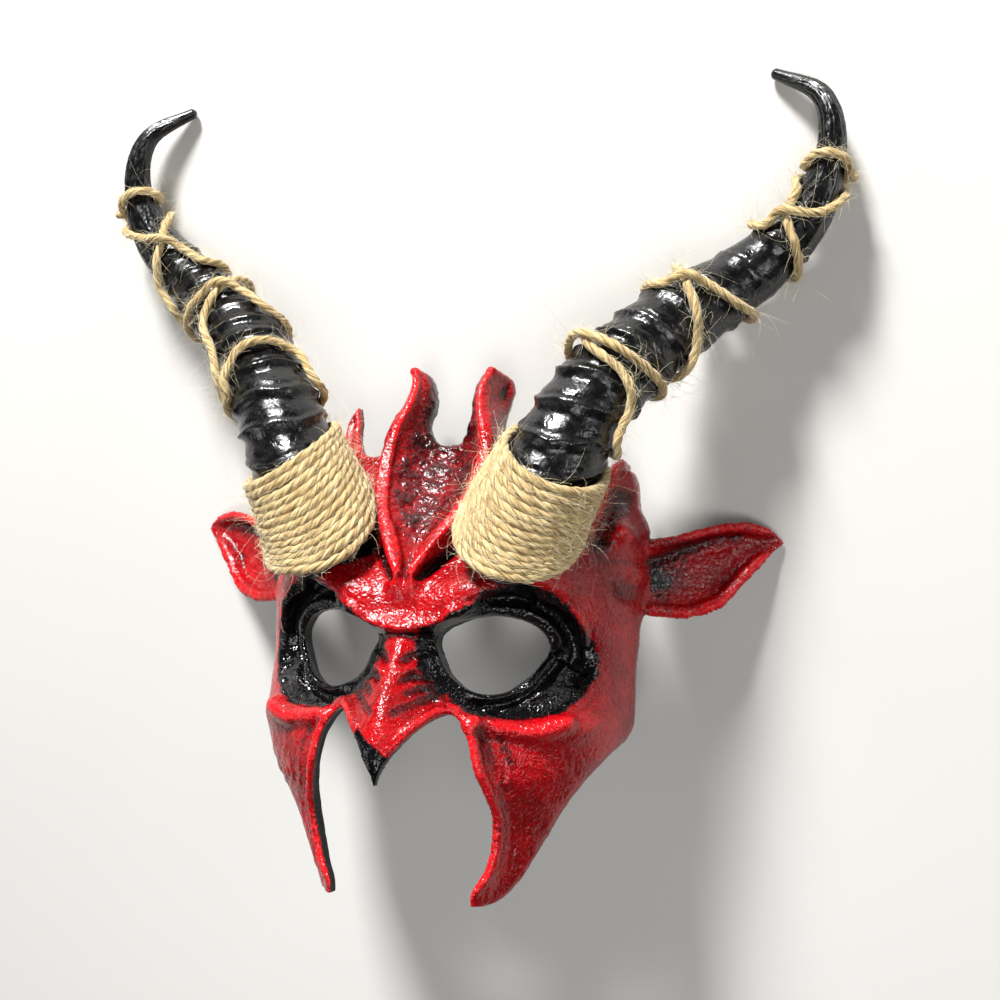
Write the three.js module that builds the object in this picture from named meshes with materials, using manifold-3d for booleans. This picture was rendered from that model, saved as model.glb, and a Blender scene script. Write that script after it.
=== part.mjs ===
// Krampus mask: a hollow red half mask with a flame crest, goat ears, hooked nose and two cheek
// prongs, and two ringed black horns bound to the forehead with jute twine. Millimetres.
//
// The mask is shaped in face axes: X across the face, Y up it and Z out of it, with the middle of
// the eye line near the origin. At the end it is laid on its back, where it rests on the tips of
// its ears and the backs of its horns, with +Z up and the horns pointing along +Y.
import * as THREE from 'three';
import { mergeVertices } from 'three/addons/utils/BufferGeometryUtils.js';
import Module from 'manifold-3d';

const wasm = await Module();
wasm.setup();

// Driving dimensions of the face.
const WALL = 4.2; // thickness of the cast shell
const RIM = -50; // depth of the flat back edge at the temples
const GAP = 0.35; // clearance between touching pieces
const FACE_TOP = 116; // the head form is drawn a little past the mask's highest and lowest points
const FACE_BOTTOM = -99;
const FACE_COLUMNS = 34;
const FACE_ROWS = 42;
const INSIDE_COLUMNS = 18;
const INSIDE_ROWS = 22;

// Driving dimensions of the horns and their twine.
const HORN_SIDES = 10;
const HORN_RINGS = 8;
const RING_RISE = 2; // how far a growth ring stands proud
const TWINE = 4; // diameter of the jute twine
const BINDING_TURNS = 13;
const SEAT_CLEARANCE = 1.15; // how far the lacing stands off the horn, as its bends are drawn straight

// Helpers.

const clamp = (v, low, high) => Math.min(high, Math.max(low, v));

// Rises smoothly from 0 at low to 1 at high.
function ramp(low, high, v) {
  const t = clamp((v - low) / (high - low), 0, 1);
  return t * t * (3 - 2 * t);
}

// A rounded hump of height 1 at 0 that ends at distance reach.
function hump(v, reach) {
  const t = clamp(1 - (v / reach) ** 2, 0, 1);
  return t * t;
}

// A smooth function through [place, value] knots.
function through(knots) {
  const slope = knots.map((knot, i) => {
    const before = knots[Math.max(i - 1, 0)];
    const after = knots[Math.min(i + 1, knots.length - 1)];
    return (after[1] - before[1]) / (after[0] - before[0]);
  });
  return (place) => {
    const p = clamp(place, knots[0][0], knots.at(-1)[0]);
    let i = 0;
    while (i < knots.length - 2 && p > knots[i + 1][0]) i += 1;
    const [[p0, v0], [p1, v1]] = [knots[i], knots[i + 1]];
    const span = p1 - p0;
    const t = (p - p0) / span;
    const bend = slope[i] * span * (1 - t) - slope[i + 1] * span * t;
    return v0 + (v1 - v0) * t * t * (3 - 2 * t) + t * (1 - t) * bend;
  };
}

// Points of a smooth line through a few given ones, as [x, y] pairs.
function smoothLine(points, steps, closed = false) {
  const corners = points.map(([x, y]) => new THREE.Vector3(x, y, 0));
  const curve = new THREE.CatmullRomCurve3(corners, closed, 'centripetal');
  const line = curve.getPoints(steps).map((p) => [p.x, p.y]);
  return closed ? line.slice(0, -1) : line;
}

// Distance from (x, y) to a line of points.
function distanceTo(line, x, y, closed = false) {
  let nearest = Infinity;
  const last = closed ? line.length : line.length - 1;
  for (let i = 0; i < last; i += 1) {
    const [ax, ay] = line[i];
    const [bx, by] = line[(i + 1) % line.length];
    const dx = bx - ax;
    const dy = by - ay;
    const t = clamp(((x - ax) * dx + (y - ay) * dy) / (dx * dx + dy * dy), 0, 1);
    nearest = Math.min(nearest, Math.hypot(x - ax - t * dx, y - ay - t * dy));
  }
  return nearest;
}

// Distance to a closed line, below zero inside it.
function signedDistance(line, x, y) {
  let inside = false;
  for (let i = 0, j = line.length - 1; i < line.length; j = i, i += 1) {
    const [ax, ay] = line[i];
    const [bx, by] = line[j];
    if (ay > y !== by > y && x < ((bx - ax) * (y - ay)) / (by - ay) + ax) inside = !inside;
  }
  return distanceTo(line, x, y, true) * (inside ? -1 : 1);
}

function toSolid(geometry) {
  const bare = geometry.index ? geometry.clone() : geometry;
  bare.deleteAttribute('normal');
  bare.deleteAttribute('uv');
  const merged = mergeVertices(bare, 1e-4);
  return new wasm.Manifold(new wasm.Mesh({
    numProp: 3,
    vertProperties: new Float32Array(merged.attributes.position.array),
    triVerts: new Uint32Array(merged.index.array),
  }));
}

function toGeometry(solid) {
  const mesh = solid.getMesh();
  const geometry = new THREE.BufferGeometry();
  geometry.setAttribute('position', new THREE.BufferAttribute(mesh.vertProperties, 3));
  geometry.setIndex(new THREE.BufferAttribute(mesh.triVerts, 1));
  geometry.computeVertexNormals();
  return geometry;
}

// Moves each vertex of a geometry to where place(vertex) puts it.
function moveVertices(geometry, place) {
  const position = geometry.attributes.position;
  const vertex = new THREE.Vector3();
  for (let i = 0; i < position.count; i += 1) {
    vertex.fromBufferAttribute(position, i);
    place(vertex);
    position.setXYZ(i, vertex.x, vertex.y, vertex.z);
  }
  return geometry;
}

// A prism along Z over a closed line.
function prism(line, back, front) {
  const shape = new THREE.Shape(line.map(([x, y]) => new THREE.Vector2(x, y)));
  const geometry = new THREE.ExtrudeGeometry(shape, { depth: front - back, bevelEnabled: false });
  return toSolid(geometry.translate(0, 0, back));
}

const mirrored = (line) => line.map(([x, y]) => [-x, y]);

// Outlines of the face, seen from the front. Each is drawn for the side of +X and mirrored.

const archAndProng = smoothLine([
  [0, -52], [2.6, -45.5], [6.5, -39], [12, -32], [20.5, -25.2], [26.5, -31], [30.5, -45],
  [34.8, -61], [34, -71], [31.5, -81], [27, -90.5], [27.5, -94.5],
], 30);
const prongOuter = smoothLine([
  [27.5, -94.5], [34, -93], [41, -85], [48, -73], [53, -62.5], [61, -50], [70, -37], [79, -22],
], 14);
const templeSide = [[90, -12], [90, 44]];
const outerPoint = smoothLine([[80, 49], [73.5, 58], [71.5, 70], [67, 77]], 6);
const outerDip = smoothLine([[67, 77], [61.5, 69], [57, 61], [52.5, 66], [49.5, 80], [49.5, 92], [46, 99]], 12);
const middleDip = smoothLine([[46, 99], [43.5, 93], [41.5, 84], [37, 76.5], [30, 75.5], [24, 80], [21, 89],
  [21.5, 99], [21.5, 106], [16.5, 112]], 14);
const innerPoint = smoothLine([[16.5, 112], [10.5, 106], [8, 97], [8.5, 87], [5, 81], [0, 79.5]], 10);
const halfOutline = [archAndProng, prongOuter, templeSide, outerPoint, outerDip, middleDip, innerPoint]
  .flat()
  .filter(([x, y], i, all) => i === 0 || Math.hypot(x - all[i - 1][0], y - all[i - 1][1]) > 0.5);
const outline = [...halfOutline, ...mirrored(halfOutline).reverse().slice(1, -1)];

const eyeHole = smoothLine([
  [8, -3], [11, -10], [18, -16.6], [30, -18.6], [40, -14], [48, -6], [52.5, 1], [49.5, 10],
  [42, 15.4], [32, 12.8], [18, 8.2], [10, 3.6],
], 32, true);
const socketLine = smoothLine([
  [6, 3.4], [14, 7], [24, 13.8], [33, 20.4], [45, 23.4], [55.5, 18], [62.5, 8], [66, -2], [64, -13],
  [56, -22.5], [42, -26], [30, -25.5], [20, -20.5], [11, -14], [7, -5],
], 36, true);

// The bare head form under the carving: at each height, half the width at the rim and how far the
// middle of the face lies forward. Each level is half an ellipse.
const halfWidthAt = through([
  [-99, 58], [-84, 60], [-66, 63], [-46, 72], [-27, 76], [-5, 76], [15, 77], [48, 78], [65, 73],
  [80, 68], [98, 60], [116, 50],
]);
const frontAt = through([
  [-99, 0], [-84, 0], [-66, 7], [-46, 16], [-27, 15], [-5, 9], [10, 11], [22, 14], [35, 7],
  [50, -4], [65, -15], [80, -24], [98, -32], [116, -38],
]);

// The carving, as a height over the head form.

const noseRise = through([[-56, 20], [-38, 20.5], [-30, 19.5], [-20, 18.5], [-12, 16], [-5, 9], [1, 4], [7, 0]]);
const noseHalf = through([[-56, 36], [-36, 33], [-26, 25], [-18, 16], [-10, 10.5], [-4, 8.5], [7, 7]]);
function nose(x, y) {
  const BRIDGE_ROUND = 2.2;
  const across = Math.hypot(x, BRIDGE_ROUND) - BRIDGE_ROUND;
  const fall = clamp(1 - across / noseHalf(y), 0, 1);
  return noseRise(y) * fall ** 1.25;
}

const browLine = through([[0, 3.8], [8, 4.6], [14, 7.1], [19, 10.4], [34, 20.8], [42, 23], [50, 21.5],
  [56, 17.5], [61, 11.5], [70, -3]]);
const browRise = through([[0, 5.5], [10, 8], [20, 8], [34, 7.5], [45, 5], [55, 3], [62, 1], [70, 0]]);
function brow(x, y) {
  const above = y - browLine(x);
  return browRise(x) * ramp(-3.5, 0.5, above) * (1 - ramp(2, 22, above));
}

function socket(x, y) {
  const SOCKET_DEPTH = 5;
  return -SOCKET_DEPTH * ramp(0, 5, -signedDistance(socketLine, x, y));
}

function eyelid(x, y) {
  return 2 * hump(signedDistance(eyeHole, x, y) - 1.5, 4);
}

function archRim(x, y) {
  return 2.4 * hump(distanceTo(archAndProng, x, y), 6.5) * ramp(6, 16, x);
}

function cheekbone(x, y) {
  const across = Math.hypot((x - 58) / 17, (y + 29) / 9);
  return 3.5 * hump(across, 1);
}

const ridgeLine = through([[18, 1.2], [27, 3.8], [34, 6.7], [43, 11.4], [51, 15.3], [59, 18.1], [68, 19.2],
  [76, 18.8], [84, 17], [92, 14.8], [100, 13.4], [108, 14], [116, 17]]);
const ridgeRise = through([[14, 0], [20, 4], [27, 7.5], [34, 10], [51, 12], [68, 14.5], [84, 17.5],
  [100, 17], [112, 13]]);
function crestRidge(x, y) {
  const OUTER_REACH = 6.5;
  const line = ridgeLine(y);
  const inside = Math.max(line - x, 0) / Math.max(line, 5);
  const outside = Math.max(x - line, 0) / OUTER_REACH;
  const fall = x < line ? clamp(1 - inside, 0, 1) ** 1.6 : hump(outside, 1);
  return ridgeRise(y) * fall;
}

// The side ridge that runs from the outer point down to the ear.
const sideRidgeLine = through([[30, 74], [50, 68], [62, 65], [76, 66]]);
function sideRidge(x, y) {
  return 3 * hump(x - sideRidgeLine(y), 7) * ramp(36, 50, y);
}

function carving(x, y) {
  const side = Math.abs(x);
  return nose(side, y) + brow(side, y) + socket(side, y) + eyelid(side, y) + archRim(side, y)
    + cheekbone(side, y) + crestRidge(side, y) + sideRidge(side, y);
}

// A point of the head form at an angle round the face, raised by some height.
function onHead(angle, y, rise, target = new THREE.Vector3()) {
  const halfWidth = halfWidthAt(y);
  const depth = frontAt(y) - RIM;
  const outward = new THREE.Vector2(depth * Math.sin(angle), halfWidth * Math.cos(angle)).normalize();
  const x = halfWidth * Math.sin(angle) + rise * outward.x;
  return target.set(x, y, RIM + depth * Math.cos(angle) + rise * outward.y);
}

function outerPointAt(angle, y, extra = 0) {
  return onHead(angle, y, carving(halfWidthAt(y) * Math.sin(angle), y) + extra);
}

// Columns lie closer together in the middle of the face, where the nose and crest are.
function columnAngle(u) {
  return (Math.PI / 2) * (0.6 * u + 0.4 * u ** 3);
}

// Turns the diagonal of each quad of a grid so that it runs along a crease, not across it.
function alongCreases(geometry) {
  const { index, attributes: { position } } = geometry;
  const corner = (i) => new THREE.Vector3().fromBufferAttribute(position, i);
  for (let i = 0; i < index.count; i += 6) {
    const [a, b, d] = [0, 1, 2].map((k) => index.getX(i + k));
    const c = index.getX(i + 4);
    if (corner(a).distanceTo(corner(c)) >= corner(b).distanceTo(corner(d))) continue;
    [a, b, c, a, c, d].forEach((vertex, k) => index.setX(i + k, vertex));
  }
  return geometry;
}

// The solid between a drawn surface and a plane behind it. surface(angle, y) gives its points.
function headSolid(columns, rows, margin, back, surface) {
  const box = new THREE.BoxGeometry(2, 2, 2, columns, rows, 1);
  const middle = (FACE_TOP + FACE_BOTTOM) / 2;
  const half = (FACE_TOP - FACE_BOTTOM) / 2 + margin;
  moveVertices(box, (vertex) => {
    const angle = columnAngle(vertex.x);
    const y = middle + half * vertex.y;
    const front = surface(angle, y);
    if (vertex.z > 0) vertex.copy(front);
    else vertex.set(front.x, y, back);
  });
  return toSolid(alongCreases(box));
}

// The inside follows the outside at wall thickness, as a ball of that radius rolled behind it.
function insideSurface() {
  const samples = [];
  for (let i = -44; i <= 44; i += 1) {
    for (let y = FACE_BOTTOM; y <= FACE_TOP; y += 2.5) samples.push(outerPointAt(columnAngle(i / 44), y));
  }
  return (angle, y) => {
    const origin = onHead(angle, y, 0);
    const outward = onHead(angle, y, 1).sub(origin);
    let depth = 40;
    for (const sample of samples) {
      const away = sample.clone().sub(origin);
      const along = away.dot(outward);
      if (along < -3 * WALL) continue;
      const off = away.lengthSq() - along * along;
      if (off < WALL * WALL) depth = Math.min(depth, along - Math.sqrt(WALL * WALL - off));
    }
    return origin.addScaledVector(outward, depth);
  };
}

// Ears: goat ears that stand out from the temples and sweep back, dished in front.

const EAR_ROOT = 74; // where the ear leaves the temple
const EAR_TIP = 129.5;
const EAR_SWEEP = 0.53; // how far it falls back for each millimetre outwards
const earUpper = through([[70, 48], [84, 47.4], [93, 50.5], [102, 54], [113, 56.2], [123, 54.6], [129.5, 50]]);
const earLower = through([[70, 17.5], [78, 16.6], [91, 16.6], [105, 21.8], [115.5, 35], [124.5, 45.2],
  [129.5, 49.4]]);
function ear() {
  const EAR_THICK = 4.2;
  const DISH = 7.5;
  const leaf = new THREE.BoxGeometry(2, 2, 2, 9, 7, 1);
  return toSolid(moveVertices(leaf, (vertex) => {
    const out = (vertex.x + 1) / 2;
    const x = EAR_ROOT + (EAR_TIP - EAR_ROOT) * (1 - (1 - out) ** 1.3);
    const upper = earUpper(x);
    const lower = earLower(x);
    const y = (upper + lower) / 2 + ((upper - lower) / 2) * vertex.y;
    const narrow = clamp((upper - lower) / 30, 0.12, 1);
    const dish = DISH * narrow * (1 - vertex.y ** 2) * ramp(-0.2, 0.5, out);
    const thick = EAR_THICK * Math.min(1, 0.25 + narrow) * (1 - 0.55 * vertex.y ** 4);
    const z = -44.5 - EAR_SWEEP * (x - 78) - dish;
    vertex.set(x, y, vertex.z > 0 ? z : z - thick);
  }));
}

function maskShell(outside, inside) {
  const window = prism(outline, -58, 60);
  const behindRim = prism([[-95, -110], [95, -110], [95, 125], [-95, 125]], -70, RIM);
  const eye = prism(eyeHole, -60, 60);
  const otherEye = prism(mirrored(eyeHole).reverse(), -60, 60);
  const shell = outside.subtract(inside).intersect(window).subtract(behindRim).subtract(eye).subtract(otherEye);
  const rightEar = ear().subtract(inside);
  const leftEar = rightEar.mirror([1, 0, 0]);
  return shell.add(rightEar).add(leftEar);
}

// Horns: a centre line that leans out, sweeps back and hooks in at the tip.

const hornCurve = new THREE.CatmullRomCurve3([
  [32.5, 18, 2], [40, 43, 6.5], [52, 68, 9], [63, 91, 5.5], [87, 121.5, -9], [119, 149.5, -23.5],
  [139, 170, -20], [147, 194, -14.5], [143, 213, -14], [123.5, 226, -18.5],
].map(([x, y, z]) => new THREE.Vector3(x, y, z)), false, 'centripetal');
hornCurve.arcLengthDivisions = 600;
const HORN_LENGTH = hornCurve.getLength();

// Radius of the horn at a distance along it, without rings. Distances are from the buried foot.
const hornRadius = through([[0, 21.5], [20, 20.5], [45, 18], [60, 17], [75, 16.6], [100, 16.2], [130, 15.4],
  [150, 13.9], [165, 12.4], [180, 10.9], [195, 9.2], [206, 7.6], [214, 6.2], [228, 5], [245, 3.6], [268, 1.8]]);
const BINDING_LOW = 25; // where the twine coil starts and ends along the horn
const BINDING_HIGH = 59;
const slantAt = through([[15, 17], [BINDING_LOW, 16], [BINDING_HIGH, 11], [85, 0], [100, 0], [300, 0]]);
const RINGS_FROM = 66;
const RINGS_TO = 186;

// How far the growth rings reach beyond the plain radius. They fade towards the tip.
function ringCrest(along) {
  return 0.6 * RING_RISE * (1 - 0.6 * ramp(RINGS_FROM, RINGS_TO, along));
}

// A growth ring: a lip that rises slowly towards the tip of the horn and drops off sharply.
function ringRise(along) {
  const place = (along - RINGS_FROM) / (RINGS_TO - RINGS_FROM);
  if (place < 0 || place > 1) return 0;
  const turn = (place * HORN_RINGS) % 1;
  const lip = turn < 0.7 ? ramp(0, 0.7, turn) : 1 - ramp(0.7, 1, turn);
  return ringCrest(along) * (lip - 0.4) / 0.6;
}

// Axes across the horn at a distance along it: one towards the front of the face, one sideways.
function hornFrame(along) {
  const at = clamp(along / HORN_LENGTH, 0, 1);
  const centre = hornCurve.getPointAt(at);
  const ahead = hornCurve.getTangentAt(at);
  const front = new THREE.Vector3(0, -0.35, 1);
  front.addScaledVector(ahead, -front.dot(ahead)).normalize();
  const side = new THREE.Vector3().crossVectors(front, ahead);
  return { centre, ahead, front, side };
}

// A point off the horn's centre line: turn is the angle from the front, shift is along the horn.
function aroundHorn(along, turn, radius, shift = 0) {
  const { centre, ahead, front, side } = hornFrame(along);
  return centre
    .addScaledVector(front, radius * Math.cos(turn))
    .addScaledVector(side, radius * Math.sin(turn))
    .addScaledVector(ahead, shift);
}

function hornStations() {
  const stations = [BINDING_LOW - 4, 42, 60];
  const pitch = (RINGS_TO - RINGS_FROM) / HORN_RINGS;
  for (let ring = 0; ring < HORN_RINGS; ring += 1) {
    const start = RINGS_FROM + ring * pitch;
    stations.push(start, start + 0.45 * pitch, start + 0.72 * pitch);
  }
  for (let along = RINGS_TO + 4; along < HORN_LENGTH - 2; along += 9) stations.push(along);
  stations.push(HORN_LENGTH);
  return stations;
}

function hornSolid() {
  const stations = hornStations();
  const tube = new THREE.CylinderGeometry(1, 1, 1, HORN_SIDES, stations.length - 1);
  return toSolid(moveVertices(tube, (vertex) => {
    const along = stations[Math.round((vertex.y + 0.5) * (stations.length - 1))];
    const away = Math.hypot(vertex.x, vertex.z);
    const turn = Math.atan2(vertex.x, vertex.z);
    const radius = away * (hornRadius(along) + ringRise(along));
    vertex.copy(aroundHorn(along, -turn, radius, -slantAt(along) * Math.cos(turn)));
  }));
}

// The binding: the close coil of twine at the horn's foot. Its turns lie aslant, low in front,
// steeper at the forehead than at the top.

// A drum round the horn, proud of it by some height. Ribs follow the turns of the twine.
function bindingDrum(proud, low, high, rows, rib) {
  const tube = new THREE.CylinderGeometry(1, 1, 1, HORN_SIDES, rows);
  return toSolid(moveVertices(tube, (vertex) => {
    const row = Math.round((vertex.y + 0.5) * rows);
    const away = Math.hypot(vertex.x, vertex.z);
    const turn = Math.atan2(vertex.x, vertex.z);
    const along = low + (high - low) * (row / rows);
    const groove = row % 2 === 0 ? rib : 0;
    const radius = away * (hornRadius(along) + proud - groove);
    vertex.copy(aroundHorn(along, -turn, radius, -slantAt(along) * Math.cos(turn)));
  }));
}

function bindingSolid() {
  const GROOVE = 0.9;
  const coil = bindingDrum(TWINE + GAP, BINDING_LOW, BINDING_HIGH, 2 * BINDING_TURNS, GROOVE);
  return coil.subtract(bindingDrum(2 * GAP, BINDING_LOW - 8, BINDING_HIGH + 8, 4, 0));
}

// The lacing: the twine that runs on from the top of the binding, criss-cross up the horn to a ring.

// Each route is a list of [angle round the horn, distance along it]. Angle 0 is the front, -90 the
// outer side and 90 the side of the crest. A lap crosses the one before it near the crest side.
const RIGHT_ROUTE = [
  [-150, 64], [-72, 71], [-50, 84], [-15, 89.5], [42, 91], [66, 95.5], [125, 103], [210, 106],
  [291, 102.5], [333, 99], [387, 94], [430, 92], [480, 92], [560, 104], [648, 117], [675, 123.5],
  [702, 128], [744, 133], [768, 136], [830, 145], [920, 155], [1014, 154], [1062, 145.5], [1110, 138],
  [1135, 128], [1180, 128], [1270, 155], [1368, 177], [1419, 183.5], [1473, 191], [1488, 201],
  [1560, 207], [1650, 208], [1731, 204], [1779, 196.5], [1833, 190], [1850, 179], [1890, 177],
  [1980, 199], [2067, 213], [2120, 217], [2195, 217], [2240, 213], [2330, 212], [2410, 212.5],
];
const LEFT_ROUTE = [
  [-140, 64], [-60, 68], [-24, 80], [-15, 91], [15, 96.5], [60, 95], [88, 91], [98, 79], [150, 76],
  [250, 86], [325, 96], [345, 110], [352, 124], [393, 133.5], [440, 141], [540, 149], [640, 148],
  [700, 143], [753, 138.5], [785, 132], [805, 119], [860, 117], [940, 137], [1026, 162], [1040, 174],
  [1074, 181.5], [1113, 188.5], [1150, 197], [1240, 205], [1330, 206], [1383, 203], [1428, 197],
  [1473, 188.5], [1492, 178], [1503, 164], [1550, 166], [1640, 194], [1743, 212.5], [1800, 215.5],
  [1860, 215.5], [1900, 213.5], [1990, 212], [2080, 211],
];
const LACING_SAMPLES = 300;
const LACING_STEPS = 66;

// Samples of a route on the horn, each raised over the laps that it crosses.
function lacingPath(route) {
  const MEAN_RADIUS = 16;
  const flat = new THREE.CatmullRomCurve3(
    route.map(([turn, along]) => new THREE.Vector3((turn / 180) * Math.PI * MEAN_RADIUS, along, 0)),
  );
  const samples = [];
  for (const { x, y } of flat.getSpacedPoints(LACING_SAMPLES)) {
    const turn = x / MEAN_RADIUS;
    const seat = hornRadius(y) + ringCrest(y) + TWINE / 2 + SEAT_CLEARANCE;
    let lift = 0;
    for (const earlier of samples) {
      const round = Math.abs(turn - earlier.turn);
      if (round < Math.PI) continue;
      const across = seat * (round - 2 * Math.PI * Math.round(round / (2 * Math.PI)));
      const apart = Math.hypot(across, y - earlier.along);
      lift = Math.max(lift, 1.3 * TWINE * hump(apart, 3.2 * TWINE));
    }
    samples.push({ turn, along: y, radius: seat + lift });
  }
  return samples.map(({ turn, along, radius }) => (
    aroundHorn(along, turn, radius, -slantAt(along) * Math.cos(turn))
  ));
}

function lacingSolid(route) {
  const curve = new THREE.CatmullRomCurve3(lacingPath(route));
  curve.arcLengthDivisions = 1200;
  const section = new THREE.Shape();
  section.absarc(0, 0, TWINE / 2, 0, Math.PI * 2);
  return toSolid(new THREE.ExtrudeGeometry(section, {
    steps: LACING_STEPS, curveSegments: 4, bevelEnabled: false, extrudePath: curve,
  }));
}

const outside = headSolid(FACE_COLUMNS, FACE_ROWS, 0, -58, (angle, y) => outerPointAt(angle, y));
const inside = headSolid(INSIDE_COLUMNS, INSIDE_ROWS, 2, -64, insideSurface());
const cutter = headSolid(FACE_COLUMNS, FACE_ROWS, 0, -58, (angle, y) => outerPointAt(angle, y, GAP));

const red = new THREE.MeshStandardMaterial({ color: 0xb3121b, roughness: 0.45, metalness: 0 });
const black = new THREE.MeshStandardMaterial({ color: 0x0d0d0f, roughness: 0.35, metalness: 0 });
const jute = new THREE.MeshStandardMaterial({ color: 0xc2a66b, roughness: 0.95, metalness: 0 });

function named(name, solid, material) {
  const mesh = new THREE.Mesh(toGeometry(solid), material);
  mesh.name = name;
  return mesh;
}

const shell = maskShell(outside, inside);
const rightHorn = hornSolid().subtract(cutter);
const rightBinding = bindingSolid().subtract(cutter);
const rightLacing = lacingSolid(RIGHT_ROUTE);
const leftLacing = lacingSolid(LEFT_ROUTE).mirror([1, 0, 0]);

const mask = new THREE.Group();
mask.add(named('mask_shell', shell, red));
mask.add(named('horn_right', rightHorn, black));
mask.add(named('horn_left', rightHorn.mirror([1, 0, 0]), black));
mask.add(named('twine_binding_right', rightBinding, jute));
mask.add(named('twine_binding_left', rightBinding.mirror([1, 0, 0]), jute));
mask.add(named('twine_lacing_right', rightLacing, jute));
mask.add(named('twine_lacing_left', leftLacing, jute));

// Laid on its back. It tips about X until the ears and the horns with their twine touch the ground
// together.
function lowestPoint(solids, tip) {
  let low = Infinity;
  for (const solid of solids) {
    const points = solid.getMesh().vertProperties;
    for (let i = 0; i < points.length; i += 3) {
      low = Math.min(low, points[i + 1] * Math.sin(tip) + points[i + 2] * Math.cos(tip));
    }
  }
  return low;
}

function restingTip() {
  let [hornsDown, hornsUp] = [-0.7, 0];
  for (let i = 0; i < 40; i += 1) {
    const tip = (hornsDown + hornsUp) / 2;
    const hornsLower = lowestPoint([rightHorn, rightLacing, leftLacing], tip) < lowestPoint([shell], tip);
    if (hornsLower) hornsDown = tip;
    else hornsUp = tip;
  }
  return hornsUp;
}

mask.rotation.x = restingTip();
mask.updateMatrixWorld(true);
const bounds = new THREE.Box3().setFromObject(mask, true);
const middle = bounds.getCenter(new THREE.Vector3());
mask.position.set(-middle.x, -middle.y, -bounds.min.z);

const part = new THREE.Group();
part.add(mask);
export default part;
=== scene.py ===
import math

import bmesh
import bpy
import numpy as np
from mathutils import Matrix, Vector, noise


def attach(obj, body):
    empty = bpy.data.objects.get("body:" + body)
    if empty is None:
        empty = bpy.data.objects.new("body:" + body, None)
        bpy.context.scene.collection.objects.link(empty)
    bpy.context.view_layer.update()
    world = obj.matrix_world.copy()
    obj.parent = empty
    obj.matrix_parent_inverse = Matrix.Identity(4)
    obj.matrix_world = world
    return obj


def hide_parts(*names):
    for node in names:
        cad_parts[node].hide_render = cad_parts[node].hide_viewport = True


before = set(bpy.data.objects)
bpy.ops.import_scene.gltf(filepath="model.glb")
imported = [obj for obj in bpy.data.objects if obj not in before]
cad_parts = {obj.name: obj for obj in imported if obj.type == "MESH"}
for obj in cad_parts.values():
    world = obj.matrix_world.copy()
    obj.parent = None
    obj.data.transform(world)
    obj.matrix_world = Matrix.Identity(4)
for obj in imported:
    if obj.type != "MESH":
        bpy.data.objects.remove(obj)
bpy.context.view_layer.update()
scene = bpy.context.scene

# How the mask lies, and the camera. It is shaped upright in face axes and millimetres: X across the
# face, Y up it and Z out of it. Then it lies on its back, resting on its ears and the backs of its
# horns, and the camera looks down on the face from a little below the eyes.
TIP = -0.29623
LAID_AT = (0.382, -59.770, 85.518)
CAMERA_AT = Vector((178.594, -15.676, 499.385)) * 0.001
CAMERA_RIGHT = Vector((0.95894, 0.05704, -0.27780))
CAMERA_UP = Vector((-0.01685, 0.98929, 0.14497))
laid = Matrix.Translation(Vector(LAID_AT) * 0.001) @ Matrix.Rotation(TIP, 4, "X")


def add_object(name, data, *surfaces):
    """A new object in the scene, with its materials."""
    made = bpy.data.objects.new(name, data)
    scene.collection.objects.link(made)
    for surface in surfaces:
        data.materials.append(surface)
    return made


camera_data = bpy.data.cameras.new("camera")
camera_data.sensor_width = 36
camera_data.lens = 50.4
camera = add_object("camera", camera_data)
axes = Matrix((CAMERA_RIGHT, CAMERA_UP, CAMERA_RIGHT.cross(CAMERA_UP))).transposed().to_4x4()
camera.matrix_world = laid @ Matrix.Translation(CAMERA_AT) @ axes
scene.camera = camera

# Floor and light. A pale matt floor, one large soft lamp over the horns, as in the photograph, and
# weaker ones from both sides so that the hollows stay readable.
FLOOR_PAPER = "#D0CECA"
SKY = "#DDE0E4"
LAMP_AIM = Vector((0, 0, 0.05))


def srgb(code):
    """An sRGB hex colour as linear RGBA."""
    parts = [int(code[i:i + 2], 16) / 255 for i in (1, 3, 5)]
    return [p / 12.92 if p <= 0.04045 else ((p + 0.055) / 1.055) ** 2.4 for p in parts] + [1.0]


def set_inputs(tree, node, inputs):
    """Sets a node's inputs. Each takes a value, or an output socket to link to."""
    for name, value in inputs.items():
        if isinstance(value, bpy.types.NodeSocket):
            tree.links.new(value, node.inputs[name])
        else:
            node.inputs[name].default_value = value


def add_node(tree, kind, inputs, output=0, **settings):
    """Adds a node with its settings and inputs, and gives one of its output sockets."""
    node = tree.nodes.new("ShaderNode" + kind)
    for name, value in settings.items():
        setattr(node, name, value)
    set_inputs(tree, node, inputs)
    return node.outputs[output]


def new_material(name):
    """An empty material with its node tree and its surface shader."""
    made = bpy.data.materials.new(name)
    made.use_nodes = True
    return made, made.node_tree, made.node_tree.nodes["Principled BSDF"]


def mesh_from(bm, name):
    """A mesh of what a bmesh holds. The bmesh goes."""
    mesh = bpy.data.meshes.new(name)
    bm.to_mesh(mesh)
    bm.free()
    return mesh


# Plain paper: pale and matt, so it takes soft shadows and shows no reflection.
paper, tree, shader = new_material("matt_paper_floor")
set_inputs(tree, shader, {"Base Color": srgb(FLOOR_PAPER), "Roughness": 0.85})
bm = bmesh.new()
bmesh.ops.create_grid(bm, x_segments=2, y_segments=2, size=4)
floor = add_object("floor", mesh_from(bm, "floor"), paper)


def add_lamp(name, place, size, power, spread=math.pi):
    lamp = bpy.data.lights.new(name, "AREA")
    lamp.size = size
    lamp.energy = power
    lamp.spread = spread
    holder = add_object(name, lamp)
    holder.location = place
    holder.rotation_euler = (LAMP_AIM - Vector(place)).to_track_quat("-Z", "Y").to_euler()


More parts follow.
